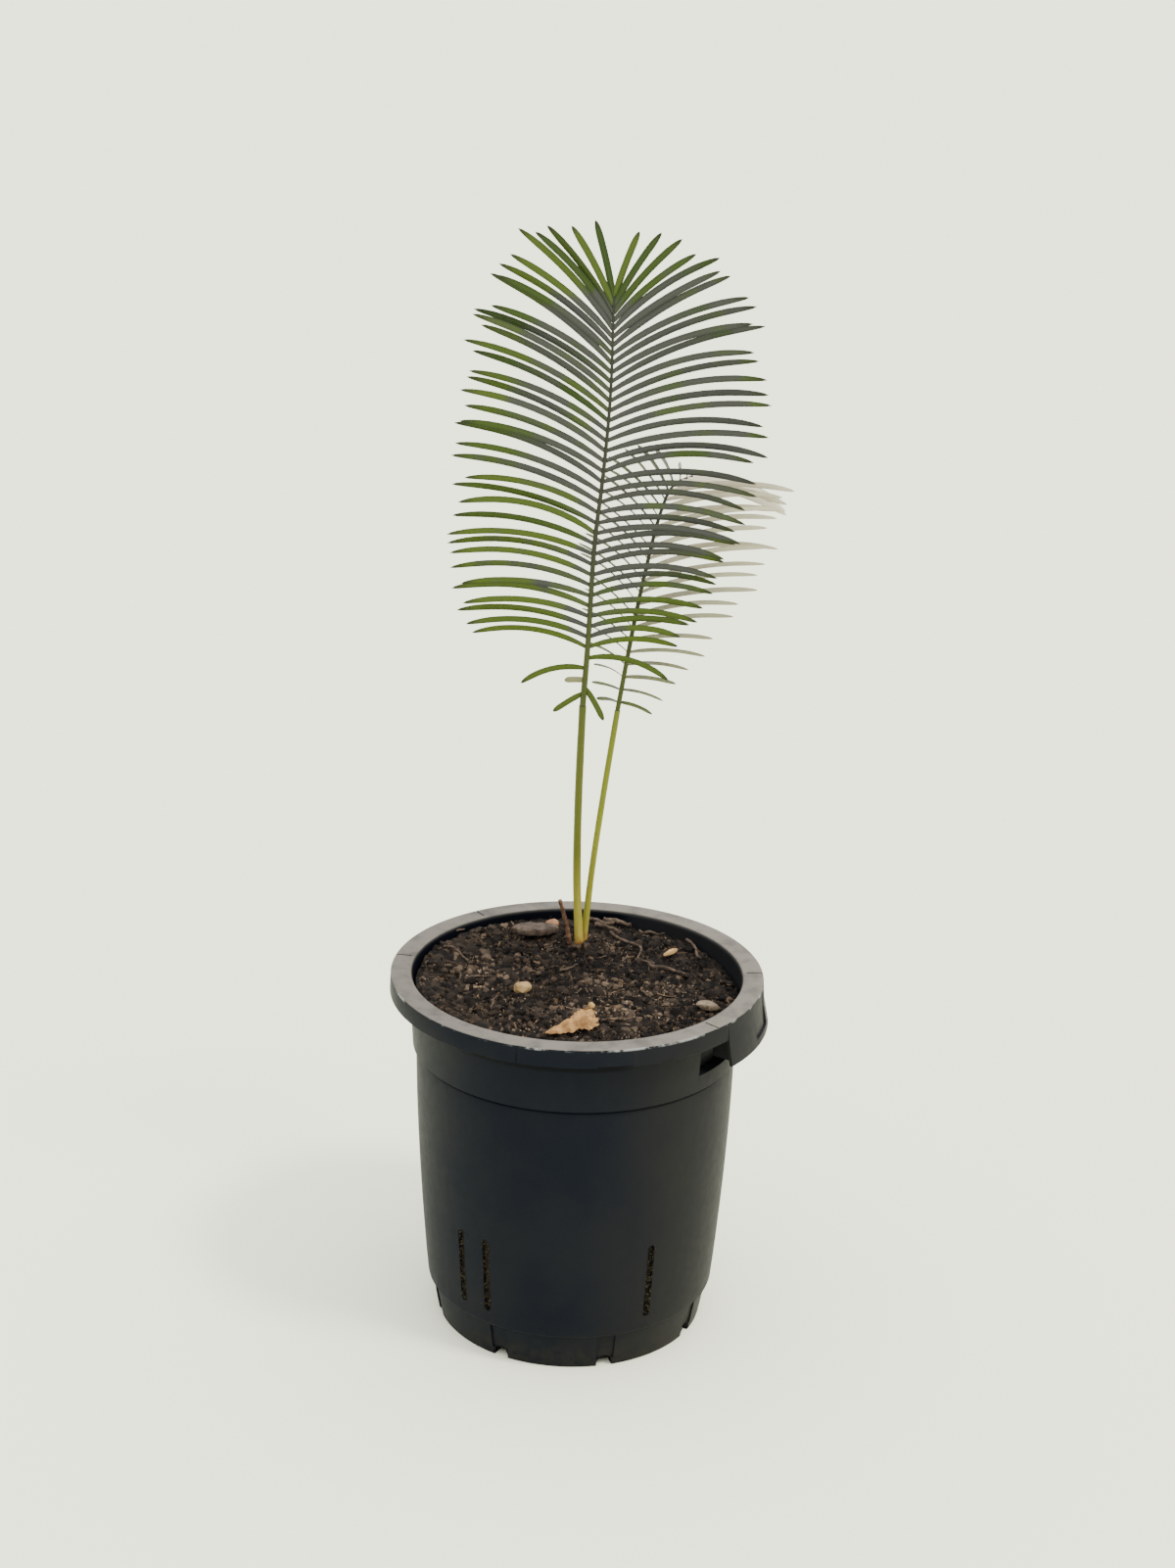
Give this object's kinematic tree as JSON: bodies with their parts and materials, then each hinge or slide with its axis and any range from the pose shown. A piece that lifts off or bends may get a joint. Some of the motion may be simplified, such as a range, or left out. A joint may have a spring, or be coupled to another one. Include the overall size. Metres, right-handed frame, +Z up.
{
  "type": "potted cycad",
  "caption": "Young cycad with an upright feathered frond and a lower arching one, in a round black nursery pot with hand grips under the rim",
  "frame": {"origin": "the middle of the flat underside of the pot, on the pot's own axis", "axes": "+Z is up, -Y is the front and +X is to the right seen from the front"},
  "size_m": [0.2614, 0.2881, 0.7392],
  "materials": {
    "pot_plastic": "satin moulded black, dusty on the rim",
    "potting_mix": "rough, crumbly and damp",
    "woody": "rough and dry",
    "leaf_stalk": "smooth and waxy",
    "foliage": "leathery with a soft sheen",
    "dry_leaf": "dry and papery",
    "pebble": "dull"
  },
  "bodies": {
    "root": {"pot": "pot_plastic", "soil": "potting_mix", "crown": "woody", "front_petiole": "leaf_stalk", "front_frond": "foliage", "back_petiole": "leaf_stalk", "back_frond": "foliage", "old_petiole_stub": "woody", "bark_chip": "woody", "dead_leaf": "dry_leaf", "pale_stone": "pebble", "orange_stone": "pebble", "wood_flake": "woody"}
  },
  "joints": []
}
